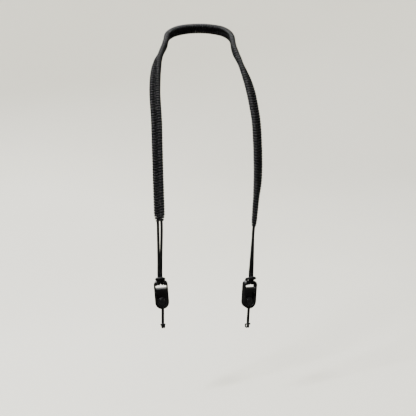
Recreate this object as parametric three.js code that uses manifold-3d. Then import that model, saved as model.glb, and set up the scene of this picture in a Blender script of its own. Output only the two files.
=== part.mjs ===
// Camera neck strap. A band woven from black cord goes round the back of the neck and hangs down the
// chest on both sides. A folded cord tail leaves each end of the band and is hitched to the bar of a
// quick-release link, which holds a disc on a thin lug cord. Millimetres, +Z up, the front towards -Y,
// +X to the right as seen from the front. The origin is the middle of the band's inner face at the nape.

import * as THREE from "three";
import { mergeVertices } from "three/addons/utils/BufferGeometryUtils.js";
import Module from "manifold-3d";

const wasm = await Module();
wasm.setup();

// Driving dimensions of the band
const BAND_WIDTH = 17.6;
const BAND_THICKNESS = 9.8;
const BAND_GROOVE_DEPTH = 1.7;
const BAND_DROP = 300;
const BAND_SPREAD = 82;
const BAND_DEPTH = 180;
const NAPE_LIFT_DEG = 30;

// Driving dimensions of the cords
const TAIL_CORD_DIAMETER = 4;
const TAIL_CORE_SPACING = 6.6;
const TAIL_MEETING_SHARE = 0.3;
const LEFT_TAIL_DROP = 102.5;
const RIGHT_TAIL_DROP = 93.6;
const LUG_CORD_DIAMETER = 2;
const LUG_CORD_DROP = 29;
const LUG_EYE_DEPTH = 2.6;
const LUG_EYE_HEIGHT = 2.4;

// Driving dimensions of the quick-release link
const LINK_LENGTH = 48;
const LINK_WIDTH = 23.5;
const LINK_THICKNESS = 11;
const LINK_CORNER_RADIUS = 6.5;
const LINK_EDGE_ROUNDING = 1.1;
const BAR_HEIGHT = 2.4;
const BAR_DEPTH = 5;
const SLOT_WIDTH = 18;
const SLOT_HEIGHT = 5.8;
const SLOT_CORNER_RADIUS = 0.8;
const BRIDGE_HEIGHT = 4.7;

// Driving dimensions of the disc
const DISC_DIAMETER = 16;
const DISC_FLANGE_THICKNESS = 3;
const DISC_BOSS_DIAMETER = 13.2;
const DISC_BOSS_SETBACK = 0.3;
const DISC_EDGE_ROUNDING = 0.6;
const LIP_THICKNESS = 1.4;

// Gaps between neighbouring pieces
const CLEARANCE = 0.3;
const CORD_CLEARANCE = 0.4;

// Where the links hang: how far in front of the band's ends, and how far to the right of them
const LINK_FORWARD = 2;
const LEFT_LINK_SHIFT = 0.4;
const RIGHT_LINK_SHIFT = -6;

// Where the two sides differ. leanDeg is how far the link's foot swings sideways, turnDeg how far its
// face turns from the front, and lugLeanDeg how far the lug cord swings sideways from the link.
const SIDES = [
  {
    name: "left",
    drop: LEFT_TAIL_DROP,
    shift: LEFT_LINK_SHIFT,
    leanDeg: -4.2,
    turnDeg: -3,
    lugLeanDeg: 3.5,
  },
  {
    name: "right",
    drop: RIGHT_TAIL_DROP,
    shift: RIGHT_LINK_SHIFT,
    leanDeg: 3.6,
    turnDeg: 17,
    lugLeanDeg: 1,
  },
];

// The band's route from its left end over the nape to its right end. Columns: across as a share of
// BAND_SPREAD, forward as a share of BAND_DEPTH, down as a share of BAND_DROP, and the way the outer
// face looks: degrees of turn from the front, and degrees of lift above the level.
const BAND_ROUTE = [
  [-0.965, 1.0, 1.016, -27, 0],
  [-0.983, 0.972, 0.789, -18, 2],
  [-0.993, 0.911, 0.572, -7, 6],
  [-0.995, 0.85, 0.467, -3, 12],
  [-1.006, 0.789, 0.388, -2, 18],
  [-1.01, 0.722, 0.321, -6, 24],
  [-0.996, 0.65, 0.259, -17, 30],
  [-0.97, 0.583, 0.207, -44, 34],
  [-0.922, 0.511, 0.158, -76, 30],
  [-0.845, 0.439, 0.117, -97, 22],
  [-0.756, 0.356, 0.076, -106, 20],
  [-0.699, 0.219, 0.038, -117, 22],
  [-0.534, 0.104, 0.0153, -138, 26],
  [-0.289, 0.027, 0.0033, -160, 29],
  [0, 0, 0, -180, NAPE_LIFT_DEG],
  [0.25, 0.0156, 0.003, -200, 29],
  [0.482, 0.075, 0.0127, -223, 26],
  [0.622, 0.178, 0.0317, -246, 22],
  [0.674, 0.278, 0.0573, -262, 18],
  [0.671, 0.356, 0.086, -268, 14],
  [0.698, 0.439, 0.12, -268, 12],
  [0.761, 0.511, 0.162, -276, 14],
  [0.827, 0.583, 0.211, -288, 18],
  [0.891, 0.65, 0.263, -303, 20],
  [0.948, 0.722, 0.326, -313, 18],
  [0.987, 0.789, 0.394, -314, 14],
  [1.023, 0.85, 0.473, -313, 10],
  [1.037, 0.911, 0.58, -313, 6],
  [1.041, 0.95, 0.688, -312, 3],
  [1.034, 0.972, 0.798, -306, 2],
  [0.998, 0.989, 0.909, -286, 0],
  [0.955, 1.0, 1.055, -276, 0],
];

// The last knot at each end of the band. Columns: distance from the end as a share of BAND_WIDTH,
// and size as a share of the full section.
const BAND_END_KNOT = [
  [0, 0.62],
  [0.07, 0.8],
  [0.2, 0.87],
  [0.32, 0.84],
  [0.42, 0.92],
  [0.55, 1],
];

// A girth hitch's form. Ways outwards, beyond and up are in cord diameters, and ways forward are
// shares of the way from the bar's middle to a strand that lies against its front.
const HITCH_SPREAD = 0.63;
const HITCH_SLANT = 0.09;
const HITCH_BAR_LEVEL = 0.65;

// The standing strand, from above it down to the bar. Columns: forward, up.
const HITCH_STANDING = [
  [0.53, 2.6],
  [0.8, 1.3],
  [1, 0.06],
];

// The bight, from the back of the bar's top to the middle of the front. Columns: outwards from the
// standing strand, forward, beyond that, and up from a strand that lies on the bar's top.
const HITCH_BIGHT = [
  [0.65, -0.3, 0, 0.07],
  [0.91, 0.27, 0, 0.28],
  [1, 0.8, 0, 0.5],
  [0.8, 0.75, 0.7, 0.8],
  [0.14, 0.69, 1.1, 1.05],
];

const BAND_STEPS = 118;
const LOBE_POINTS = 7;
const LOBE_SWEEP_DEG = 240;
const CORD_SIDES = 8;
const CORD_STEPS_PER_POINT = 2;
const ARC_SEGMENTS = 7;
const DISC_SEGMENTS = 28;

const CORD_BLACK = new THREE.Color(0x17171a);
const LINK_BLACK = new THREE.Color(0x101013);
const DISC_BLACK = new THREE.Color(0x1b1b1e);

const radians = THREE.MathUtils.degToRad;

// Values that follow from the driving dimensions
const slotTop = -(BAR_HEIGHT + CLEARANCE + TAIL_CORD_DIAMETER);
const slotBottom = slotTop - SLOT_HEIGHT;
const channelRadius = DISC_DIAMETER / 2 + CLEARANCE;
const discCentre = -(LINK_LENGTH - LINK_WIDTH / 2);
const pocketTop = slotBottom - BRIDGE_HEIGHT;
const frontFace = -LINK_THICKNESS / 2;
const lipBack = frontFace + LIP_THICKNESS;
const flangeFront = lipBack + CLEARANCE;
const flangeBack = flangeFront + DISC_FLANGE_THICKNESS;
const channelBack = flangeBack + CLEARANCE;
const lugCordDepth = (flangeFront + flangeBack) / 2;

/** The unit vector of a face that looks turnDeg round from the front and liftDeg above the level. */
function facing(turnDeg, liftDeg) {
  const turn = radians(turnDeg);
  const lift = radians(liftDeg);
  return new THREE.Vector3(Math.sin(turn) * Math.cos(lift), -Math.cos(turn) * Math.cos(lift), Math.sin(lift));
}

/** The band's centreline at the nape, half a thickness outside the inner face. */
function napeCentre() {
  return facing(180, NAPE_LIFT_DEG).multiplyScalar(BAND_THICKNESS / 2);
}

/** The band's centreline, left end to right end. */
function bandCurve() {
  const nape = napeCentre();
  const points = BAND_ROUTE.map(
    ([across, forward, down]) =>
      new THREE.Vector3(
        nape.x + across * BAND_SPREAD,
        nape.y - forward * BAND_DEPTH,
        nape.z - down * BAND_DROP,
      ),
  );
  return new THREE.CatmullRomCurve3(points, false, "centripetal");
}

/** A column of the route between its rows, at curve parameter t, eased from row to row. */
function routeColumn(column, t) {
  const place = t * (BAND_ROUTE.length - 1);
  const row = Math.min(Math.floor(place), BAND_ROUTE.length - 2);
  const share = THREE.MathUtils.smoothstep(place - row, 0, 1);
  return THREE.MathUtils.lerp(BAND_ROUTE[row][column], BAND_ROUTE[row + 1][column], (share + place - row) / 2);
}

/** The band's frame at a share of its length: its place, its direction, its width and its outer face. */
function bandFrame(curve, share) {
  const t = curve.getUtoTmapping(share);
  const place = curve.getPoint(t);
  const along = curve.getTangent(t);
  const face = facing(routeColumn(3, t), routeColumn(4, t));
  face.addScaledVector(along, -face.dot(along)).normalize();
  const across = new THREE.Vector3().crossVectors(face, along);
  return { place, along, face, across };
}

/** The band's two-lobed section, as pairs of width and thickness, going round once. */
function bandSection() {
  const lobe = BAND_THICKNESS / 2;
  const offset = BAND_WIDTH / 2 - lobe;
  const groove = lobe - BAND_GROOVE_DEPTH;
  const points = [];
  for (const side of [1, -1]) {
    for (let i = 0; i < LOBE_POINTS; i += 1) {
      const angle = radians(LOBE_SWEEP_DEG * (i / (LOBE_POINTS - 1) - 0.5));
      points.push([side * (offset + lobe * Math.cos(angle)), side * lobe * Math.sin(angle)]);
    }
    points.push([0, side * groove]);
  }
  return points;
}

/** How much the band's section shrinks towards its end, at a distance from it. */
function endKnotScale(distance) {
  const rows = BAND_END_KNOT.map(([at, size]) => [at * BAND_WIDTH, size]);
  const next = rows.findIndex(([at]) => at >= distance);
  if (next < 0) {
    return 1;
  }
  if (next === 0) {
    return rows[0][1];
  }
  const [from, small] = rows[next - 1];
  const [to, large] = rows[next];
  return THREE.MathUtils.mapLinear(distance, from, to, small, large);
}

/** A closed solid through rings of as many points each, with a flat cap on the first and the last. */
function loft(rings) {
  const sides = rings[0].length;
  const positions = rings.flat().flatMap((p) => [p.x, p.y, p.z]);
  const index = [];
  for (let ring = 0; ring < rings.length - 1; ring += 1) {
    for (let i = 0; i < sides; i += 1) {
      const a = ring * sides + i;
      const b = ring * sides + ((i + 1) % sides);
      index.push(a, b, b + sides, a, b + sides, a + sides);
    }
  }
  for (const [first, turned] of [[0, true], [(rings.length - 1) * sides, false]]) {
    const middle = positions.length / 3;
    const centre = new THREE.Vector3();
    rings[first / sides].forEach((p) => centre.addScaledVector(p, 1 / sides));
    positions.push(centre.x, centre.y, centre.z);
    for (let i = 0; i < sides; i += 1) {
      const here = first + i;
      const next = first + ((i + 1) % sides);
      index.push(...(turned ? [middle, next, here] : [middle, here, next]));
    }
  }
  const geometry = new THREE.BufferGeometry();
  geometry.setAttribute("position", new THREE.Float32BufferAttribute(positions, 3));
  geometry.setIndex(index);
  geometry.computeVertexNormals();
  return geometry;
}

/** The woven band as one solid of its outer form. */
function bandGeometry(curve) {
  const length = curve.getLength();
  const knot = BAND_END_KNOT.map(([at]) => (at * BAND_WIDTH) / length);
  const inner = knot.at(-1);
  const stations = [...knot];
  for (let i = 1; i < BAND_STEPS; i += 1) {
    stations.push(THREE.MathUtils.lerp(inner, 1 - inner, i / BAND_STEPS));
  }
  stations.push(...knot.map((share) => 1 - share).reverse());
  const section = bandSection();
  const rings = stations.map((share) => {
    const { place, face, across } = bandFrame(curve, share);
    const size = endKnotScale(Math.min(share, 1 - share) * length);
    return section.map(([width, thickness]) =>
      place.clone().addScaledVector(across, width * size).addScaledVector(face, thickness * size),
    );
  });
  return loft(rings);
}

/** A smooth route through chosen points that gets as many steps between each two, however near they are. */
class CordRoute extends THREE.CatmullRomCurve3 {
  constructor(points) {
    super(points, false, "centripetal");
  }

  getUtoTmapping(u) {
    return u;
  }
}

/** A cord of a given diameter along chosen points. */
function cordGeometry(points, diameter) {
  const section = new THREE.Shape();
  for (let i = 0; i < CORD_SIDES; i += 1) {
    const angle = (2 * Math.PI * i) / CORD_SIDES;
    const x = (diameter / 2) * Math.cos(angle);
    const y = (diameter / 2) * Math.sin(angle);
    if (i === 0) {
      section.moveTo(x, y);
    } else {
      section.lineTo(x, y);
    }
  }
  return new THREE.ExtrudeGeometry(section, {
    steps: CORD_STEPS_PER_POINT * (points.length - 1),
    extrudePath: new CordRoute(points),
  });
}

/**
 * One half of a girth hitch round a bar whose top is at z = 0, from the standing strand above it to
 * the bight. The strand comes down in front of the bar, goes under it and up behind it, over its top,
 * and round the outside of the standing strand to the middle of the front. side is 1 or -1.
 */
function hitchHalf(side, diameter, barDepth, barHeight) {
  const off = diameter / 2 + CLEARANCE;
  const corner = off * Math.SQRT1_2;
  const face = barDepth / 2;
  const near = face + off;
  const inner = (diameter + CLEARANCE) / 2;
  const outer = inner + HITCH_SPREAD * diameter;
  const slant = HITCH_SLANT * diameter;
  const points = [
    ...HITCH_STANDING.map(([forward, up]) => [inner, -forward * near, up * diameter]),
    [inner, -near, -HITCH_BAR_LEVEL * barHeight],
    [inner + slant, -face - corner, -barHeight - corner],
    [(inner + outer) / 2, 0, -barHeight - off],
    [outer - slant, face + corner, -barHeight - corner],
    [outer, near, -HITCH_BAR_LEVEL * barHeight],
    [outer, face + corner, corner],
    ...HITCH_BIGHT.map(([out, forward, beyond, up]) => [
      inner + out * diameter + CLEARANCE,
      -forward * near - beyond * diameter,
      off + up * diameter,
    ]),
  ];
  return points.map(([x, y, z]) => new THREE.Vector3(side * x, y, z));
}

/** The whole hitch: down one standing strand, through both halves, and up the other. */
function hitch(diameter, barDepth, barHeight) {
  return [
    ...hitchHalf(-1, diameter, barDepth, barHeight),
    ...hitchHalf(1, diameter, barDepth, barHeight).reverse(),
  ];
}

/** Where two strands meet side by side, at a share of the way from a lower to an upper pair of points. */
function meeting(lower, upper, share) {
  const [left, right] = lower.map((point, i) => point.clone().lerp(upper[i], share));
  const middle = left.clone().lerp(right, 0.5);
  const half = right.sub(left).setLength((TAIL_CORD_DIAMETER + CLEARANCE) / 2);
  return [middle.clone().sub(half), middle.clone().add(half)];
}

/** The folded cord between one end of the band and the bar of its link. */
function tailGeometry(end, link) {
  const core = TAIL_CORE_SPACING / 2;
  const leave = (distance) =>
    [end.leftStrand, -end.leftStrand].map((side) =>
      end.place.clone().addScaledVector(end.across, side * core).addScaledVector(end.out, distance),
    );
  const onBar = hitch(TAIL_CORD_DIAMETER, BAR_DEPTH, BAR_HEIGHT).map((p) => link.localToWorld(p));
  const start = leave(CLEARANCE);
  const straight = leave(3 * TAIL_CORD_DIAMETER);
  const met = meeting([onBar[0], onBar.at(-1)], straight, TAIL_MEETING_SHARE);
  return cordGeometry(
    [start[0], straight[0], met[0], ...onBar, met[1], straight[1], start[1]],
    TAIL_CORD_DIAMETER,
  );
}

/** The thin cord that leaves the disc as a pair and is hitched to a lug, with its eye left open. */
function lugCordGeometry(leanDeg) {
  const inner = (LUG_CORD_DIAMETER + CLEARANCE) / 2;
  const start = discCentre - Math.sqrt((DISC_DIAMETER / 2) ** 2 - inner ** 2) - CLEARANCE;
  const lug = new THREE.Vector3(
    -LUG_CORD_DROP * Math.tan(radians(leanDeg)),
    lugCordDepth,
    -LINK_LENGTH - LUG_CORD_DROP,
  );
  const onLug = hitch(LUG_CORD_DIAMETER, LUG_EYE_DEPTH, LUG_EYE_HEIGHT).map((p) => p.add(lug));
  const strand = (side) => [
    new THREE.Vector3(side * inner, lugCordDepth, start),
    new THREE.Vector3(side * inner, lugCordDepth, -LINK_LENGTH),
  ];
  return cordGeometry([...strand(-1), ...onLug, ...strand(1).reverse()], LUG_CORD_DIAMETER);
}

/** A shape drawn in width and height, made solid from one depth to another. */
function plate(shape, from, to, rounding = 0) {
  const geometry = new THREE.ExtrudeGeometry(shape, {
    depth: to - from - 2 * rounding,
    curveSegments: ARC_SEGMENTS,
    bevelEnabled: rounding > 0,
    bevelThickness: rounding,
    bevelSize: rounding,
    bevelOffset: -rounding,
    bevelSegments: 2,
  });
  geometry.rotateX(Math.PI / 2);
  geometry.translate(0, to - rounding, 0);
  return geometry;
}

/** A rectangle with rounded corners, from its left, right, bottom and top. */
function roundedRectangle(left, right, bottom, top, radius) {
  const shape = new THREE.Shape();
  shape.absarc(right - radius, bottom + radius, radius, -Math.PI / 2, 0);
  shape.absarc(right - radius, top - radius, radius, 0, Math.PI / 2);
  shape.absarc(left + radius, top - radius, radius, Math.PI / 2, Math.PI);
  shape.absarc(left + radius, bottom + radius, radius, Math.PI, 1.5 * Math.PI);
  shape.closePath();
  return shape;
}

/** The link's outline: rounded corners at the top and a half circle at the bottom. */
function linkOutline() {
  const half = LINK_WIDTH / 2;
  const shape = new THREE.Shape();
  shape.absarc(0, discCentre, half, Math.PI, 2 * Math.PI);
  shape.absarc(half - LINK_CORNER_RADIUS, -LINK_CORNER_RADIUS, LINK_CORNER_RADIUS, 0, Math.PI / 2);
  shape.absarc(LINK_CORNER_RADIUS - half, -LINK_CORNER_RADIUS, LINK_CORNER_RADIUS, Math.PI / 2, Math.PI);
  shape.closePath();
  return shape;
}

/** A slot with round ends, upright, between two centres. */
function uprightSlot(radius, lowCentre, highCentre) {
  const shape = new THREE.Shape();
  shape.absarc(0, lowCentre, radius, Math.PI, 2 * Math.PI);
  shape.absarc(0, highCentre, radius, 0, Math.PI);
  shape.closePath();
  return shape;
}

/** A closed three.js geometry as a solid that can be joined and cut. */
function solidOf(geometry) {
  const bare = geometry.clone();
  bare.deleteAttribute("normal");
  bare.deleteAttribute("uv");
  const merged = mergeVertices(bare);
  return new wasm.Manifold(
    new wasm.Mesh({
      numProp: 3,
      vertProperties: new Float32Array(merged.attributes.position.array),
      triVerts: new Uint32Array(merged.index.array),
    }),
  );
}

/** A solid as a three.js geometry. */
function geometryOf(solid) {
  const mesh = solid.getMesh();
  const geometry = new THREE.BufferGeometry();
  geometry.setAttribute("position", new THREE.Float32BufferAttribute(mesh.vertProperties, 3));
  geometry.setIndex([...mesh.triVerts]);
  geometry.computeVertexNormals();
  return geometry;
}

/** The link's housing: a cord bar with a saddle, a through slot, and a keyhole pocket for the disc. */
function housingGeometry() {
  const reach = LINK_THICKNESS;
  const corner = SLOT_CORNER_RADIUS / 2;
  const saddleLow = slotTop - SLOT_CORNER_RADIUS;
  const backHalf = TAIL_CORD_DIAMETER * (1 + HITCH_SPREAD) + 1.5 * CLEARANCE;
  const frontHalf = TAIL_CORD_DIAMETER * (1 + 2 * HITCH_SLANT) + 1.5 * CLEARANCE;
  const saddle = roundedRectangle(-backHalf, backHalf, saddleLow, -BAR_HEIGHT, corner);
  const backWaist = roundedRectangle(-backHalf, backHalf, saddleLow, reach, corner);
  const frontWaist = roundedRectangle(-frontHalf, frontHalf, saddleLow, reach, corner);
  const slot = roundedRectangle(-SLOT_WIDTH / 2, SLOT_WIDTH / 2, slotBottom, slotTop, SLOT_CORNER_RADIUS);
  const entryCentre = pocketTop - channelRadius;
  const bossRadius = DISC_BOSS_DIAMETER / 2 + CLEARANCE;
  const cordHalf = LUG_CORD_DIAMETER + CLEARANCE / 2 + CORD_CLEARANCE;
  const notch = roundedRectangle(-cordHalf, cordHalf, -LINK_LENGTH - reach, discCentre, CLEARANCE);
  const cuts = [
    plate(saddle, -BAR_DEPTH / 2 - CLEARANCE, reach),
    plate(frontWaist, -reach, -BAR_DEPTH / 2),
    plate(backWaist, BAR_DEPTH / 2, reach),
    plate(slot, -reach, reach),
    plate(uprightSlot(channelRadius, entryCentre, entryCentre + CLEARANCE), -reach, channelBack),
    plate(uprightSlot(channelRadius, discCentre, entryCentre), lipBack, channelBack),
    plate(uprightSlot(bossRadius, discCentre, entryCentre), -reach, channelBack),
    plate(notch, -reach, channelBack),
  ];
  const body = plate(linkOutline(), -LINK_THICKNESS / 2, LINK_THICKNESS / 2, LINK_EDGE_ROUNDING);
  return geometryOf(cuts.reduce((solid, cut) => solid.subtract(solidOf(cut)), solidOf(body)));
}

/** The disc: a flange that runs under the housing's lips and a boss that fills their opening. */
function discGeometry() {
  const flange = DISC_DIAMETER / 2;
  const boss = DISC_BOSS_DIAMETER / 2;
  const bossFront = frontFace + DISC_BOSS_SETBACK;
  const profile = [
    [0, bossFront],
    [boss - 2 * DISC_EDGE_ROUNDING, bossFront],
    [boss, bossFront + DISC_EDGE_ROUNDING],
    [boss, flangeFront],
    [flange - DISC_EDGE_ROUNDING, flangeFront],
    [flange, flangeFront + DISC_EDGE_ROUNDING],
    [flange, flangeBack - DISC_EDGE_ROUNDING],
    [flange - DISC_EDGE_ROUNDING, flangeBack],
    [0, flangeBack],
  ];
  const geometry = new THREE.LatheGeometry(
    profile.map(([radius, depth]) => new THREE.Vector2(radius, depth)),
    DISC_SEGMENTS,
  );
  geometry.translate(0, 0, discCentre);
  return geometry;
}

/** A mesh with a name and a finish of its own. */
function piece(name, geometry, color, roughness) {
  const material = new THREE.MeshStandardMaterial({ color, roughness, metalness: 0 });
  const mesh = new THREE.Mesh(geometry, material);
  mesh.name = name;
  return mesh;
}

/** The frame in which a link hangs, its bar's top at the origin. */
function linkFrame(end, side) {
  const link = new THREE.Group();
  link.position.set(end.place.x + side.shift, end.place.y - LINK_FORWARD, end.place.z - side.drop);
  link.rotation.set(0, radians(side.leanDeg), radians(side.turnDeg), "ZYX");
  link.updateMatrixWorld(true);
  return link;
}

/** One end of the band: its place, the way out of it, and on which side its left strand lies. */
function bandEnd(curve, share) {
  const { place, along, across } = bandFrame(curve, share);
  const out = along.clone().multiplyScalar(share === 0 ? -1 : 1);
  return { place, out, across, leftStrand: share === 0 ? 1 : -1 };
}

const strap = new THREE.Group();
const centreline = bandCurve();
strap.add(piece("woven_band", bandGeometry(centreline), CORD_BLACK, 0.75));
for (const side of SIDES) {
  const end = bandEnd(centreline, side.name === "left" ? 0 : 1);
  const link = linkFrame(end, side);
  link.add(piece(`${side.name}_link_housing`, housingGeometry(), LINK_BLACK, 0.45));
  link.add(piece(`${side.name}_anchor_disc`, discGeometry(), DISC_BLACK, 0.4));
  link.add(piece(`${side.name}_lug_cord`, lugCordGeometry(side.lugLeanDeg), CORD_BLACK, 0.7));
  strap.add(link);
  strap.add(piece(`${side.name}_tail_cord`, tailGeometry(end, link), CORD_BLACK, 0.7));
}

export default strap;
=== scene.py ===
"""Camera neck strap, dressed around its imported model.

A neck band woven from black cord, a folded cord tail at each end of it, and on each tail a
quick-release link with its disc and thin lug cord. Lengths are in metres, +Z is up, the front is
towards -Y, and the origin is the middle of the band's inner face at the nape.
"""

import logging
import math
from dataclasses import dataclass
from enum import Enum
from functools import partial
from typing import Any, ClassVar

import bmesh
import bpy
import numpy as np
from bpy.types import GeometryNodeTree, Material, Mesh, Node, NodeSocket, Object
from mathutils import Matrix, Vector


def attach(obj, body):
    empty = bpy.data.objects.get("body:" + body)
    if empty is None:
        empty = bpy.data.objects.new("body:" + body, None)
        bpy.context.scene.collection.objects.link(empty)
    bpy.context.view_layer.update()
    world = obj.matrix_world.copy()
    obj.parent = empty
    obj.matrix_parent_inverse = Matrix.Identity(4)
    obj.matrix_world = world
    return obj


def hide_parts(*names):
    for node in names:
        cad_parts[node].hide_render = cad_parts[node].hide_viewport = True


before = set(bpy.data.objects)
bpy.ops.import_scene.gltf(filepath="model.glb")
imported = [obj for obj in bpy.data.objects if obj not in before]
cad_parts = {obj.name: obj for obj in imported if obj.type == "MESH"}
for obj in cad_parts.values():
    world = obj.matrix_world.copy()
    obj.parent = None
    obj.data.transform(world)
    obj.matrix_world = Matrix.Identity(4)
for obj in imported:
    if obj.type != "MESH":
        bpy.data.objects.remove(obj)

LOG = logging.getLogger("camera_neck_strap")
MM = 0.001
BODY = "root"
MERGE_DISTANCE = 0.001 * MM
MATH = "ShaderNodeMath"
VECTOR_MATH = "ShaderNodeVectorMath"

# The attribute that carries a cord's own coordinates: metres along it, and the cosine and sine of
# the angle round it, so that the braid has no seam where the angle closes.
STRAND = "strand"
FACE = "face"
KNOT_SIZE = "knot_size"

# The arcs that make an outline. Columns: across, up, radius, and the first and last angle in degrees.
Outline = tuple[tuple[float, ...], ...]


class Side(Enum):
    """The two hanging sides of the strap, as seen from the front."""

    LEFT = "left"
    RIGHT = "right"


def linear(colour: str) -> tuple[float, float, float, float]:
    """Turn an sRGB hex colour to linear.

    Args:
        colour: six hex digits with a leading hash.

    Returns:
        Red, green, blue and an alpha of one.
    """
    parts = [int(colour[i : i + 2], 16) / 255 for i in (1, 3, 5)]
    red, green, blue = (p / 12.92 if p <= 0.04045 else ((p + 0.055) / 1.055) ** 2.4 for p in parts)
    return (red, green, blue, 1.0)


def feed(tree: Any, node: Any, values: dict) -> None:
    """Link or set a node's inputs.

    Args:
        tree: the node tree.
        node: the node.
        values: its inputs by name or number, each a node or socket to link from, or a plain value.
    """
    for name, value in values.items():
        if isinstance(value, Node):
            value = next(socket for socket in value.outputs if socket.enabled)
        if isinstance(value, NodeSocket):
            tree.links.new(value, node.inputs[name])
        else:
            node.inputs[name].default_value = value


def add_node(tree: Any, kind: str, *inputs: Any, links: dict | None = None, **settings: Any) -> Any:
    """Add a node to a tree, set it and link it.

    Args:
        tree: the node tree.
        kind: the node's type.
        inputs: its first inputs in order, as feed takes them.
        links: its other inputs by name.
        settings: its properties by name.

    Returns:
        The new node.
    """
    node = tree.nodes.new(kind)
    for name, value in settings.items():
        setattr(node, name, value)
    feed(tree, node, {**dict(enumerate(inputs)), **(links or {})})
    return node


def new_material(name: str) -> tuple[Material, Any, Any, Any]:
    """Make a material.

    Args:
        name: the material's name.

    Returns:
        The material, its node tree, its shader and the socket of its object coordinates.
    """
    made = bpy.data.materials.new(name)
    made.use_nodes = True
    tree = made.node_tree
    place = add_node(tree, "ShaderNodeTexCoord").outputs["Object"]
    return made, tree, tree.nodes["Principled BSDF"], place


def link_object(name: str, data: Any) -> Object:
    """Put an object with this data into the scene and return it."""
    thing = bpy.data.objects.new(name, data)
    bpy.context.scene.collection.objects.link(thing)
    return thing


def stand_for(thing: Object, node: str) -> None:
    """Let a piece ride on the strap.

    Args:
        thing: the piece's object.
        node: the plain solid that it stands for.
    """
    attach(thing, BODY)
    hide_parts(node)


def evaluated_mesh(thing: Object, name: str) -> Mesh:
    """Keep what an object's modifiers make.

    Args:
        thing: the object.
        name: the mesh's name.

    Returns:
        A plain mesh.
    """
    graph = bpy.context.evaluated_depsgraph_get()
    mesh = bpy.data.meshes.new_from_object(thing.evaluated_get(graph), depsgraph=graph)
    mesh.name = name
    return mesh


def evened(thing: Object) -> Object:
    """Weight an object's corner normals by their faces, so that flat faces look flat.

    Args:
        thing: the object, with smooth shading and its sharp edges marked.

    Returns:
        The same object.
    """
    weighting = thing.modifiers.new("weighting", "WEIGHTED_NORMAL")
    weighting.keep_sharp = True
    plain = thing.data
    thing.data = evaluated_mesh(thing, thing.name)
    thing.modifiers.remove(weighting)
    bpy.data.meshes.remove(plain)
    return thing


def write_closed(shape: bmesh.types.BMesh, mesh: Mesh) -> None:
    """Weld a shape's points and turn its faces outwards.

    Args:
        shape: the shape, which is freed.
        mesh: the mesh that it's written to.
    """
    bmesh.ops.remove_doubles(shape, verts=shape.verts, dist=MERGE_DISTANCE)
    bmesh.ops.recalc_face_normals(shape, faces=shape.faces)
    shape.to_mesh(mesh)
    shape.free()


def unit(vectors: np.ndarray) -> np.ndarray:
    """Return the vectors with their length made one."""
    return vectors / np.linalg.norm(vectors, axis=-1, keepdims=True)


def reach_along(points: np.ndarray) -> np.ndarray:
    """Return each point's distance from the first, measured along the line through them."""
    return np.concatenate([[0], np.cumsum(np.linalg.norm(np.diff(points, axis=0), axis=1))])


class SmoothRoute:
    """A smooth curve through chosen points, a centripetal Catmull-Rom spline."""

    samples_per_interval: int = 40

    def __init__(self, points: np.ndarray) -> None:
        """Keep the points, with one more beyond each end.

        Args:
            points: one row for each point.
        """
        points = np.asarray(points, float)
        first = 2 * points[0] - points[1]
        last = 2 * points[-1] - points[-2]
        self.points = np.vstack([first, points, last])
        self.intervals = len(points) - 1

    def row_and_share(self, places: np.ndarray) -> tuple[np.ndarray, np.ndarray]:
        """Return each place's interval between two points and its share of the way along it."""
        scaled = np.clip(places, 0, 1) * self.intervals
        row = np.minimum(scaled.astype(int), self.intervals - 1)
        return row, scaled - row

    def at(self, places: np.ndarray) -> np.ndarray:
        """Sample the curve.

        Args:
            places: numbers from 0 at the first point to 1 at the last, even from point to point.

        Returns:
            One row for each place.
        """
        row, share = self.row_and_share(places)
        share = share[:, None]
        p0, p1, p2, p3 = (self.points[row + k] for k in range(4))
        pairs = ((p0, p1), (p1, p2), (p2, p3))
        d0, d1, d2 = (np.sqrt(np.linalg.norm(b - a, axis=1))[:, None] for a, b in pairs)
        leave = ((p1 - p0) / d0 - (p2 - p0) / (d0 + d1) + (p2 - p1) / d1) * d1
        arrive = ((p2 - p1) / d1 - (p3 - p1) / (d1 + d2) + (p3 - p2) / d2) * d1
        square = -3 * p1 + 3 * p2 - 2 * leave - arrive
        cube = 2 * p1 - 2 * p2 + leave + arrive
        return p1 + leave * share + square * share**2 + cube * share**3

    def even(self, step: float) -> tuple[np.ndarray, np.ndarray]:
        """Sample the curve at even distances.

        Args:
            step: about how far apart the samples are.

        Returns:
            The places, from 0 to 1, and the samples there.
        """
        fine = np.linspace(0, 1, self.intervals * self.samples_per_interval + 1)
        reach = reach_along(self.at(fine))
        count = max(2, round(reach[-1] / step) + 1)
        places = np.interp(np.linspace(0, reach[-1], count), reach, fine)
        return places, self.at(places)


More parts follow.
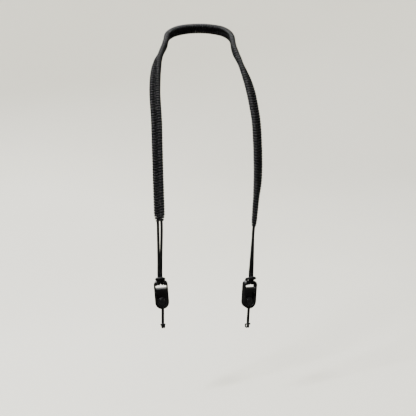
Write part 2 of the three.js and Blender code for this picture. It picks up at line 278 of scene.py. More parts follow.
@dataclass(frozen=True)
class BraidedCord:
    """Nylon cord with a braided sheath: near black, with a soft shine along each yarn."""

    name: str = "braided_nylon_cord"
    # Painted shade: the valleys between the braid's yarns are drawn in this darker colour.
    painted_valley_shade: str = "#030304"
    yarn: str = "#0A0A0C"
    roughness: float = 0.33
    sheen: float = 0.01
    sheen_roughness: float = 0.45
    sheen_tint: str = "#9A9AA2"
    specular: float = 0.4
    refraction: float = 1.5
    yarns_round: int = 8
    braid_pitch: float = 2.6 * MM
    relief: float = 0.16 * MM
    bump_strength: float = 0.8
    # The yarns' fibres are finer than the render can show, so they are drawn this coarse: it gives the
    # eye a slightly soft, broken shine in place of a hard one.
    fuzz_grain: float = 0.25 * MM
    fuzz_height: float = 0.35

    def material(self) -> Material:
        """Make the material.

        Returns:
            A sheath of two families of yarns that cross, drawn from the cord's own coordinates, with painted
            shade darkening the valleys between the yarns.
        """
        made, tree, shader, place = new_material(self.name)
        add = partial(add_node, tree)
        strand = add("ShaderNodeAttribute", attribute_name=STRAND).outputs["Vector"]
        parts = add("ShaderNodeSeparateXYZ", strand).outputs
        angle = add(MATH, parts["Z"], parts["Y"], operation="ARCTAN2")
        along = add(MATH, parts["X"], 2 * math.pi / self.braid_pitch, operation="MULTIPLY")
        around = add(MATH, angle, float(self.yarns_round), operation="MULTIPLY")
        rising = add(MATH, add(MATH, along, around, operation="ADD"), operation="SINE")
        falling = add(MATH, add(MATH, along, around, operation="SUBTRACT"), operation="SINE")
        crossed = add(MATH, rising, falling, operation="MULTIPLY")
        links = {
            "Factor": add(MATH, crossed, 0.0, operation="GREATER_THAN"),
            "A": add(MATH, falling, operation="ABSOLUTE"),
            "B": add(MATH, rising, operation="ABSOLUTE"),
        }
        level = add("ShaderNodeMix", links=links)
        links = {"Vector": place, "Scale": 1 / self.fuzz_grain, "Detail": 2.0}
        fuzz = add("ShaderNodeTexNoise", links=links)
        fuzz = add(MATH, fuzz, self.fuzz_height, operation="MULTIPLY")
        height = add(MATH, fuzz, level, operation="ADD")
        links = {"Height": height, "Distance": self.relief, "Strength": self.bump_strength}
        bump = add("ShaderNodeBump", links=links)
        # The braid's height mixes in the darker colour where the yarns dip: painted shade in the valleys
        # between them.
        links = {"Factor": level, "A": linear(self.painted_valley_shade), "B": linear(self.yarn)}
        values = {
            "Base Color": add("ShaderNodeMix", links=links, data_type="RGBA"),
            "Normal": bump,
            "Roughness": self.roughness,
            "Sheen Weight": self.sheen,
            "Sheen Roughness": self.sheen_roughness,
            "Sheen Tint": linear(self.sheen_tint),
            "IOR": self.refraction,
            "Specular IOR Level": self.specular,
        }
        feed(tree, shader, values)
        return made


@dataclass(frozen=True)
class MouldedNylon:
    """Glass-filled nylon from a textured mould: black, satin, with a fine grain in its gloss."""

    name: str = "moulded_glass_filled_nylon"
    base: str = "#060607"
    worn: str = "#0B0B0C"
    roughness: float = 0.36
    smoother: float = 0.06
    rougher: float = 0.08
    specular: float = 0.42
    refraction: float = 1.52
    # The mould's texture is finer than the render can show, so it is drawn this coarse: it gives the
    # eye a satin gloss that is a little uneven.
    grain: float = 0.45 * MM
    cloud: float = 9 * MM
    relief: float = 0.03 * MM
    bump_strength: float = 0.5

    def material(self) -> Material:
        """Make the material.

        Returns:
            A satin plastic whose colour and gloss vary a little with the mould's grain.
        """
        made, tree, shader, place = new_material(self.name)
        add = partial(add_node, tree)
        links = {"Vector": place, "Scale": 1 / self.grain, "Detail": 3.0}
        grain = add("ShaderNodeTexNoise", links=links)
        links = {"Vector": place, "Scale": 1 / self.cloud, "Detail": 2.0}
        cloud = add("ShaderNodeTexNoise", links=links)
        links = {
            "Value": grain,
            "To Min": self.roughness - self.smoother,
            "To Max": self.roughness + self.rougher,
        }
        gloss = add("ShaderNodeMapRange", links=links)
        links = {"Height": grain, "Distance": self.relief, "Strength": self.bump_strength}
        bump = add("ShaderNodeBump", links=links)
        links = {"Factor": cloud, "A": linear(self.base), "B": linear(self.worn)}
        values = {
            "Base Color": add("ShaderNodeMix", links=links, data_type="RGBA"),
            "Normal": bump,
            "Roughness": gloss,
            "IOR": self.refraction,
            "Specular IOR Level": self.specular,
        }
        feed(tree, shader, values)
        return made


@dataclass(frozen=True)
class PalePaper:
    """Matte paper: warm, nearly white, with a faint unevenness."""

    name: str = "pale_paper"
    shade: str = "#ECEADF"
    light: str = "#F4F2E9"
    cloud: float = 600 * MM
    roughness: float = 0.9

    def material(self) -> Material:
        """Make the material.

        Returns:
            A matte paper whose tone drifts a little from place to place.
        """
        made, tree, shader, place = new_material(self.name)
        links = {"Vector": place, "Scale": 1 / self.cloud, "Detail": 1.0}
        drift = add_node(tree, "ShaderNodeTexNoise", links=links)
        links = {"Factor": drift, "A": linear(self.shade), "B": linear(self.light)}
        colour = add_node(tree, "ShaderNodeMix", links=links, data_type="RGBA")
        feed(tree, shader, {"Base Color": colour, "Roughness": self.roughness})
        return made


@dataclass(frozen=True)
class CordTube:
    """Makes a cord's mesh tube. The swell is how much thicker it is drawn than the cord."""

    diameter: float
    swell: float = 0.6 * MM
    sides: int = 16
    step: float = 0.8 * MM
    nearly_upright: float = 0.1

    def rings(self, middle: np.ndarray, angles: np.ndarray) -> np.ndarray:
        """Work out the circles round a cord's middle line, which turn with it and don't twist.

        Args:
            middle: the points along the cord's middle.
            angles: the angles of the points on each circle.

        Returns:
            The points, by place along the cord and by angle.
        """
        tangent = unit(np.gradient(middle, axis=0))
        across = np.zeros_like(middle)
        start = np.cross(tangent[0], (0.0, 0.0, 1.0))
        if np.linalg.norm(start) < self.nearly_upright:
            start = np.cross(tangent[0], (1.0, 0.0, 0.0))
        across[0] = unit(start)
        for i in range(1, len(middle)):
            carried = across[i - 1] - tangent[i] * np.dot(across[i - 1], tangent[i])
            across[i] = unit(carried)
        second = np.cross(tangent, across)
        ring = across[:, None] * np.cos(angles)[None, :, None]
        ring = ring + second[:, None] * np.sin(angles)[None, :, None]
        return middle[:, None] + ring * (self.diameter + self.swell) / 2

    def mesh(self, name: str, middle: np.ndarray) -> Mesh:
        """Sweep a circle along the cord's middle and close both ends.

        Args:
            name: the mesh's name.
            middle: the points along the cord's middle.

        Returns:
            The mesh, with its strand attribute.
        """
        angles = 2 * np.pi * np.arange(self.sides) / self.sides
        count, sides = len(middle), self.sides
        verts = np.vstack([self.rings(middle, angles).reshape(-1, 3), middle[0], middle[-1]])
        faces = []
        for i in range(count - 1):
            for k in range(sides):
                here, after = i * sides + k, i * sides + (k + 1) % sides
                faces.append((here, after, after + sides, here + sides))
        low, high, last = count * sides, count * sides + 1, (count - 1) * sides
        for k in range(sides):
            after = (k + 1) % sides
            faces.append((low, after, k))
            faces.append((high, last + k, last + after))
        mesh = bpy.data.meshes.new(name)
        mesh.from_pydata(verts.tolist(), [], faces)
        mesh.shade_smooth()
        reach = reach_along(middle)
        strand = np.zeros((len(verts), 3))
        strand[:low, 0] = np.repeat(reach, sides)
        strand[:low, 1] = np.tile(np.cos(angles), count)
        strand[:low, 2] = np.tile(np.sin(angles), count)
        strand[low] = (0.0, 1.0, 0.0)
        strand[high] = (reach[-1], 1.0, 0.0)
        layer = mesh.attributes.new(STRAND, "FLOAT_VECTOR", "POINT")
        layer.data.foreach_set("vector", strand.ravel())
        return mesh


@dataclass(frozen=True)
class BandEnd:
    """One end of the band, with the ways in which a tail leaves it."""

    place: np.ndarray
    out: np.ndarray
    across: np.ndarray
    left_strand: int


@dataclass(frozen=True)
class BandPath:
    """The way the band hangs, as worn: round the nape, then forward and down on both sides."""

    spread: float = 82 * MM
    reach: float = 180 * MM
    drop: float = 300 * MM
    half_thickness: float = 4.9 * MM
    nape_lift: float = 30.0
    nudge: float = 1e-4
    # Columns: across, forward and down as shares of spread, reach and drop, then the degrees by
    # which the outer face turns from the front and lifts above the level.
    rows: tuple[tuple[float, ...], ...] = (
        (-0.965, 1.0, 1.016, -27, 0),
        (-0.983, 0.972, 0.789, -18, 2),
        (-0.993, 0.911, 0.572, -7, 6),
        (-0.995, 0.85, 0.467, -3, 12),
        (-1.006, 0.789, 0.388, -2, 18),
        (-1.01, 0.722, 0.321, -6, 24),
        (-0.996, 0.65, 0.259, -17, 30),
        (-0.97, 0.583, 0.207, -44, 34),
        (-0.922, 0.511, 0.158, -76, 30),
        (-0.845, 0.439, 0.117, -97, 22),
        (-0.756, 0.356, 0.076, -106, 20),
        (-0.699, 0.219, 0.038, -117, 22),
        (-0.534, 0.104, 0.0153, -138, 26),
        (-0.289, 0.027, 0.0033, -160, 29),
        (0, 0, 0, -180, 30),
        (0.25, 0.0156, 0.003, -200, 29),
        (0.482, 0.075, 0.0127, -223, 26),
        (0.622, 0.178, 0.0317, -246, 22),
        (0.674, 0.278, 0.0573, -262, 18),
        (0.671, 0.356, 0.086, -268, 14),
        (0.698, 0.439, 0.12, -268, 12),
        (0.761, 0.511, 0.162, -276, 14),
        (0.827, 0.583, 0.211, -288, 18),
        (0.891, 0.65, 0.263, -303, 20),
        (0.948, 0.722, 0.326, -313, 18),
        (0.987, 0.789, 0.394, -314, 14),
        (1.023, 0.85, 0.473, -313, 10),
        (1.037, 0.911, 0.58, -313, 6),
        (1.041, 0.95, 0.688, -312, 3),
        (1.034, 0.972, 0.798, -306, 2),
        (0.998, 0.989, 0.909, -286, 0),
        (0.955, 1.0, 1.055, -276, 0),
    )

    def route(self) -> SmoothRoute:
        """Return the band's middle line, left end to right end."""
        lift = math.radians(self.nape_lift)
        nape = self.half_thickness * np.array([0.0, math.cos(lift), math.sin(lift)])
        sizes = np.array([self.spread, -self.reach, -self.drop])
        return SmoothRoute(nape + np.array(self.rows, float)[:, :3] * sizes)

    def frames(self, places: np.ndarray) -> tuple[np.ndarray, np.ndarray, np.ndarray, np.ndarray]:
        """Work out how the band lies at some places.

        Args:
            places: numbers from 0 at the left end to 1 at the right end, even from row to row.

        Returns:
            The points, the ways along, the ways the outer face looks and the ways across.
        """
        route = self.route()
        along = unit(route.at(places + self.nudge) - route.at(places - self.nudge))
        row, share = route.row_and_share(places)
        eased = (share + share**2 * (3 - 2 * share)) / 2
        angles = np.array(self.rows, float)[:, 3:]
        turn, lift = np.radians(angles[row] + (angles[row + 1] - angles[row]) * eased[:, None]).T
        face = np.stack([np.sin(turn) * np.cos(lift), -np.cos(turn) * np.cos(lift), np.sin(lift)], axis=1)
        face = unit(face - along * np.sum(face * along, axis=1, keepdims=True))
        return route.at(places), along, face, np.cross(face, along)

    def end(self, side: Side) -> BandEnd:
        """Return the band's end on one side."""
        first = side is Side.LEFT
        points, along, _, across = self.frames(np.array([0.0 if first else 1.0]))
        return BandEnd(points[0], along[0] * (-1 if first else 1), across[0], 1 if first else -1)


@dataclass
class WovenBand:
    """The neck band: one cord woven in a figure of eight over three core cords."""

    path: BandPath
    column_reach: float = 7.6 * MM
    column_height: float = 3.1 * MM
    stitch_pitch: float = 4.5 * MM
    crest_along: float = 2.32 * MM
    crest_high: float = 2.05 * MM
    cross_along: float = 1.3 * MM
    cross_high: float = 2.1 * MM
    crossing_sharpness: float = 6.0
    cord_per_stitch: float = 45 * MM
    core_spacing: float = 7.6 * MM
    core_radius: float = 1.9 * MM
    core_places: tuple[float, ...] = (-0.5, 0.0, 0.5)
    unevenness: float = 0.05
    uneven_per_stitch: float = 1.7
    seed: int = 7
    steps: int = 22
    sides: int = 16
    guide_step: float = 2 * MM
    # Columns: distance from the band's end, and size as a share of the full weave.
    end_knot: tuple[tuple[float, float], ...] = (
        (0.0, 0.7),
        (3.4 * MM, 0.86),
        (6.0 * MM, 0.88),
        (9.5 * MM, 1.0),
    )

    def guide(self) -> Object:
        """Make the line that the weave follows.

        Returns:
            An object whose points carry the way the face looks and the size of the weave.
        """
        places, points = self.path.route().even(self.guide_step)
        _, _, face, _ = self.path.frames(places)
        mesh = bpy.data.meshes.new("band_guide")
        mesh.from_pydata(points.tolist(), [(i, i + 1) for i in range(len(points) - 1)], [])
        mesh.attributes.new(FACE, "FLOAT_VECTOR", "POINT").data.foreach_set("vector", face.ravel())
        reach = reach_along(points)
        knot = np.interp(np.minimum(reach, reach[-1] - reach), *zip(*self.end_knot))
        mesh.attributes.new(KNOT_SIZE, "FLOAT", "POINT").data.foreach_set("value", knot)
        return link_object("band_guide", mesh)

    def inputs(self) -> dict[str, float | int]:
        """Return the weave's sizes and counts by the names of the tree's inputs."""
        return {
            "Stitch Pitch": self.stitch_pitch,
            "Column Reach": self.column_reach,
            "Column Height": self.column_height,
            "Crest Along": self.crest_along,
            "Crest High": self.crest_high,
            "Cross Along": self.cross_along,
            "Cross High": self.cross_high,
            "Core Spacing": self.core_spacing,
            "Core Radius": self.core_radius,
            "Unevenness": self.unevenness,
            "Steps": self.steps,
            "Sides": self.sides,
            "Seed": self.seed,
        }

    def strand(self, tree: Any, given: Any, guide: Any) -> Any:
        """Weave the cord in the tree.

        Args:
            tree: the node tree.
            given: the sockets of the tree's inputs.
            guide: the node of the guide's curve.

        Returns:
            The node whose output is the cord's mesh, with its strand attribute.
        """
        add = partial(add_node, tree)
        length = add("GeometryNodeCurveLength", guide)
        stitches = add(MATH, length, given["Stitch Pitch"], operation="DIVIDE")
        stitches = add(MATH, stitches, operation="FLOOR")
        count = add(MATH, stitches, given["Steps"], operation="MULTIPLY")
        count = add(MATH, count, 1.0, operation="ADD")
        line = add("GeometryNodeMeshLine", links={"Count": count})
        turns = add(MATH, add("GeometryNodeInputIndex"), given["Steps"], operation="DIVIDE")
        share = add(MATH, turns, stitches, operation="DIVIDE")
        distance = add(MATH, share, length, operation="MULTIPLY")
        angle = add(MATH, turns, 2 * math.pi, operation="MULTIPLY")

        samples = []
        for name, kind in ((KNOT_SIZE, "FLOAT"), (FACE, "FLOAT_VECTOR")):
            value = add("GeometryNodeInputNamedAttribute", name, data_type=kind)
            links = {"Curves": guide, "Value": value, "Length": distance}
            samples.append(add("GeometryNodeSampleCurve", links=links, mode="LENGTH", data_type=kind))
        knot_size, on_guide = (sample.outputs for sample in samples)
        along = on_guide["Tangent"]
        lean = add(VECTOR_MATH, on_guide["Value"], along, operation="DOT_PRODUCT")
        level = add(VECTOR_MATH, along, links={"Scale": lean}, operation="SCALE")
        face = add(VECTOR_MATH, on_guide["Value"], level, operation="SUBTRACT")
        face = add(VECTOR_MATH, face, operation="NORMALIZE")
        across = add(VECTOR_MATH, face, along, operation="CROSS_PRODUCT")

        chance = add("ShaderNodeCombineXYZ", turns, given["Seed"])
        links = {"Vector": chance, "Scale": self.uneven_per_stitch}
        wobble = add("ShaderNodeTexNoise", links=links, noise_dimensions="2D")
        wobble = add(MATH, wobble, 0.5, operation="SUBTRACT")
        wobble = add(MATH, wobble, given["Unevenness"], operation="MULTIPLY")
        wobble = add(MATH, wobble, 1.0, operation="ADD")
        size = add(MATH, knot_size["Value"], wobble, operation="MULTIPLY")
        out = add(MATH, angle, operation="COSINE")
        out = add(MATH, out, given["Column Reach"], operation="MULTIPLY")
        out = add(MATH, out, size, operation="MULTIPLY")
        rise = add(MATH, add(MATH, angle, 2.0, operation="MULTIPLY"), operation="SINE")
        rise = add(MATH, rise, given["Column Height"], operation="MULTIPLY")
        rise = add(MATH, rise, size, operation="MULTIPLY")
        sideways = add(VECTOR_MATH, across, links={"Scale": out}, operation="SCALE")
        forward = add(VECTOR_MATH, face, links={"Scale": rise}, operation="SCALE")
        offset = add(VECTOR_MATH, sideways, forward, operation="ADD")
        centre = add(VECTOR_MATH, on_guide["Position"], offset, operation="ADD")
        line = add("GeometryNodeSetPosition", line, links={"Position": centre})

        inward = add(MATH, add(MATH, angle, operation="SINE"), operation="ABSOLUTE")
        inward = add(MATH, inward, self.crossing_sharpness, operation="POWER")

        halves = []
        for way in ("Along", "High"):
            links = {"Factor": inward, "A": given[f"Crest {way}"], "B": given[f"Cross {way}"]}
            halves.append(add(MATH, add("ShaderNodeMix", links=links), size, operation="MULTIPLY"))
        thick_along, thick_high = halves
        kept = add("GeometryNodeCaptureAttribute", line)
        for kind, name, value in (
            ("VECTOR", "Centre", centre),
            ("VECTOR", "Along", along),
            ("FLOAT", "Stretch", add(MATH, thick_along, thick_high, operation="DIVIDE")),
            ("FLOAT", "Distance", add(MATH, turns, self.cord_per_stitch, operation="MULTIPLY")),
            ("FLOAT", "Radius", thick_high),
        ):
            kept.capture_items.new(kind, name)
            feed(tree, kept, {name: value})
        kept = kept.outputs
        curve = add("GeometryNodeMeshToCurve", kept["Geometry"])
        links = {"Curve": curve, "Normal": kept["Along"]}
        curve = add("GeometryNodeSetCurveNormal", links=links, mode="FREE")
        links = {"Resolution": given["Sides"], "Radius": 1.0}
        ring = add("GeometryNodeCaptureAttribute", add("GeometryNodeCurvePrimitiveCircle", links=links))
        ring.capture_items.new("VECTOR", "Ring")
        here = add("GeometryNodeInputPosition")
        feed(tree, ring, {"Ring": here})
        links = {
            "Curve": curve,
            "Profile Curve": ring,
            "Scale": kept["Radius"],
            "Fill Caps": True,
        }
        tube = add("GeometryNodeCurveToMesh", links=links)
        part = add(VECTOR_MATH, here, kept["Centre"], operation="SUBTRACT")
        part = add(VECTOR_MATH, part, kept["Along"], operation="DOT_PRODUCT")
        more = add(MATH, kept["Stretch"], 1.0, operation="SUBTRACT")
        more = add(MATH, part, more, operation="MULTIPLY")
        spread = add(VECTOR_MATH, kept["Along"], links={"Scale": more}, operation="SCALE")
        tube = add("GeometryNodeSetPosition", tube, links={"Offset": spread})
        around = add("ShaderNodeSeparateXYZ", ring.outputs["Ring"]).outputs
        own = add("ShaderNodeCombineXYZ", kept["Distance"], around["X"], around["Y"])
        links = {"Geometry": tube, "Name": STRAND, "Value": own}
        kind = {"data_type": "FLOAT_VECTOR", "domain": "POINT"}
        return add("GeometryNodeStoreNamedAttribute", links=links, **kind)

    def cores(self, tree: Any, given: Any, guide: Any) -> list[Any]:
        """Sweep the core cords in the tree.

        Args:
            tree: the node tree.
            given: the sockets of the tree's inputs.
            guide: the node of the guide's curve.

        Returns:
            The node of each core's mesh.
        """
        add = partial(add_node, tree)
        links = {"Resolution": given["Sides"], "Radius": given["Core Radius"]}
        circle = add("GeometryNodeCurvePrimitiveCircle", links=links)
        face = add("GeometryNodeInputNamedAttribute", FACE, data_type="FLOAT_VECTOR")
        across = add(VECTOR_MATH, face, add("GeometryNodeInputTangent"), operation="CROSS_PRODUCT")
        across = add(VECTOR_MATH, across, operation="NORMALIZE")
        size = add("GeometryNodeInputNamedAttribute", KNOT_SIZE, data_type="FLOAT")
        spacing = add(MATH, given["Core Spacing"], size, operation="MULTIPLY")
        made = []
        for place in self.core_places:
            far = add(MATH, spacing, place, operation="MULTIPLY")
            beside = add(VECTOR_MATH, across, links={"Scale": far}, operation="SCALE")
            core = add("GeometryNodeSetPosition", guide, links={"Offset": beside})
            links = {"Curve": core, "Profile Curve": circle, "Fill Caps": True}
            made.append(add("GeometryNodeCurveToMesh", links=links))
        return made

    def weave_tree(self) -> GeometryNodeTree:
        """Make the Geometry Nodes tree that weaves the band along the guide.

        Returns:
            The tree, whose inputs are the weave's sizes and its material.
        """
        tree = bpy.data.node_groups.new("figure_of_eight_weave", "GeometryNodeTree")
        kinds = {name: "Int" if isinstance(value, int) else "Float" for name, value in self.inputs().items()}
        for name, kind in {"Guide": "Geometry", **kinds, "Finish": "Material"}.items():
            tree.interface.new_socket(name, in_out="INPUT", socket_type=f"NodeSocket{kind}")
        tree.interface.new_socket("Weave", in_out="OUTPUT", socket_type="NodeSocketGeometry")
        add = partial(add_node, tree)
        given = add("NodeGroupInput").outputs
        guide = add("GeometryNodeMeshToCurve", given["Guide"])
        join = add("GeometryNodeJoinGeometry")
        for cord in (self.strand(tree, given, guide), *self.cores(tree, given, guide)):
            feed(tree, join, {0: cord})
        woven = add("GeometryNodeSetShadeSmooth", join)
        woven = add("GeometryNodeRealizeInstances", woven)
        woven = add("GeometryNodeSetMaterial", woven, links={"Material": given["Finish"]})
        add("NodeGroupOutput", links={"Weave": woven})
        return tree

    def build(self, finish: Material) -> Object:
        """Weave the band.

        Args:
            finish: the cord's material.

        Returns:
            The band as a plain mesh object.
        """
        guide = self.guide()
        modifier = guide.modifiers.new("weave", "NODES")
        modifier.node_group = self.weave_tree()
        values = {**self.inputs(), "Finish": finish}
        for item in modifier.node_group.interface.items_tree:
            if item.in_out == "INPUT" and item.name in values:
                modifier[item.identifier] = values[item.name]
        mesh = evaluated_mesh(guide, "woven_neck_band")
        guide.modifiers.remove(modifier)
        bpy.data.objects.remove(guide)
        return link_object("woven_neck_band", mesh)

    def dress(self, band: Object) -> None:
        """Let the band ride on the strap and stand for its plain solid."""
        stand_for(band, "woven_band")


@dataclass(frozen=True)
class Hitch:
    """A girth hitch round a bar whose top is at height nought: two standing strands and a bight."""

    diameter: float
    bar_depth: float
    bar_height: float
    clearance: float = 0.3 * MM
    # Shares of the diameter: how far outside its standing strand a cord comes up behind the bar, and
    # how far it slants at the bar's corners. Then how far down the bar its face points lie.
    spread: float = 0.63
    slant: float = 0.09
    bar_level: float = 0.65
    # The standing strand, from above it down to the bar. Columns: forward as a share of the way from
    # the bar's middle to a strand on its face, and up in diameters.
    standing: tuple[tuple[float, ...], ...] = ((0.53, 2.6), (0.8, 1.3), (1.0, 0.06))
    # The bight, from the back of the bar's top to the middle of the front. Columns: outwards in
    # diameters, forward as a share, beyond that in diameters, and up in diameters.
    bight: tuple[tuple[float, ...], ...] = (
        (0.65, -0.3, 0.0, 0.07),
        (0.91, 0.27, 0.0, 0.28),
        (1.0, 0.8, 0.0, 0.5),
        (0.8, 0.75, 0.7, 0.8),
        (0.14, 0.69, 1.1, 1.05),
    )

    def half(self, side: int) -> list[tuple[float, float, float]]:
        """List the points of one half in the bar's frame, from the standing strand above to the bight.

        Args:
            side: 1 or -1, the way across.

        Returns:
            The points, in the cord's order.
        """
        off = self.diameter / 2 + self.clearance
        corner = off * math.sqrt(0.5)
        face = self.bar_depth / 2
        near = face + off
        inner = (self.diameter + self.clearance) / 2
        outer = inner + self.spread * self.diameter
        slant = self.slant * self.diameter
        level = -self.bar_level * self.bar_height
        low = -self.bar_height
        points = [(inner, -forward * near, up * self.diameter) for forward, up in self.standing]
        points += [
            (inner, -near, level),
            (inner + slant, -face - corner, low - corner),
            ((inner + outer) / 2, 0.0, low - off),
            (outer - slant, face + corner, low - corner),
            (outer, near, level),
            (outer, face + corner, corner),
        ]
        for out, forward, beyond, up in self.bight:
            x = inner + out * self.diameter + self.clearance
            points.append((x, -forward * near - beyond * self.diameter, off + up * self.diameter))
        return [(side * x, y, z) for x, y, z in points]

    def points(self) -> np.ndarray:
        """List the whole hitch's points: down one standing strand, through both halves, up the other."""
        return np.array([*self.half(-1), *reversed(self.half(1))])


@dataclass
class QuickReleaseLink:
    """A quick-release link: a housing with a cord bar, a slot and a keyhole pocket for a disc."""

    side: Side
    end: BandEnd
    drop: float
    shift: float
    lean: float
    turn: float
    lug_lean: float
    forward: float = 2 * MM
    length: float = 48 * MM
    width: float = 23.5 * MM
    thickness: float = 11 * MM
    corner: float = 6.5 * MM
    edge_rounding: float = 1.1 * MM
    rim_rounding: float = 0.4 * MM
    bar_height: float = 2.4 * MM
    bar_depth: float = 5 * MM
    slot_width: float = 18 * MM
    slot_height: float = 5.8 * MM
    slot_corner: float = 0.8 * MM
    bridge: float = 4.7 * MM
    disc_diameter: float = 16 * MM
    flange_thickness: float = 3 * MM
    boss_diameter: float = 13.2 * MM
    lip: float = 1.4 * MM
    clearance: float = 0.3 * MM
    cord_clearance: float = 0.4 * MM
    tail_cord: float = 4 * MM
    lug_cord: float = 2 * MM
    lug_drop: float = 29 * MM
    lug_eye_depth: float = 2.6 * MM
    lug_eye_height: float = 2.4 * MM

    @property
    def tail_hitch(self) -> Hitch:
        """The tail's hitch on the link's bar."""
        return Hitch(self.tail_cord, self.bar_depth, self.bar_height)

    @property
    def disc_centre(self) -> float:
        """The height of the disc's middle in the link's frame."""
        return self.width / 2 - self.length

    @property
    def lip_back(self) -> float:
        """The depth of the lips' inner face."""
        return self.lip - self.thickness / 2

    @property
    def flange_front(self) -> float:
        """The depth of the disc's flange, front face."""
        return self.lip_back + self.clearance

    @property
    def flange_back(self) -> float:
        """The depth of the disc's flange, back face."""
        return self.flange_front + self.flange_thickness

    def matrix(self) -> Matrix:
        """Return the link's frame: its bar's top, leaning and turned as it hangs."""
        x, y, z = self.end.place
        place = Matrix.Translation((x + self.shift, y - self.forward, z - self.drop))
        turned = Matrix.Rotation(math.radians(self.turn), 4, "Z")
        leaning = Matrix.Rotation(math.radians(self.lean), 4, "Y")
        return place @ turned @ leaning

    def placed(self, points: np.ndarray) -> np.ndarray:
        """Return points of the link's frame in the strap's frame."""
        matrix = np.array(self.matrix())
        return points @ matrix[:3, :3].T + matrix[:3, 3]


@dataclass
class LinkPiece:
    """A piece at a link. Its kinds say its names and make its mesh."""

    link: QuickReleaseLink
    piece: ClassVar[str]
    node: ClassVar[str]
    slot: ClassVar[str]

    def mesh(self, name: str) -> Mesh:
        """Return the piece's mesh under this name, in its place."""
        raise NotImplementedError

    def build(self, finish: Material) -> Object:
        """Make the piece.

        Args:
            finish: its material.

        Returns:
            The piece as a plain mesh object in its place.
        """
        name = f"{self.link.side.value}_{self.piece}"
        mesh = self.mesh(name)
        mesh.materials.clear()
        mesh.materials.append(finish)
        return link_object(name, mesh)

    def dress(self, thing: Object) -> None:
        """Let the piece ride on the strap and stand for its plain solid."""
        stand_for(thing, f"{self.link.side.value}_{self.node}")


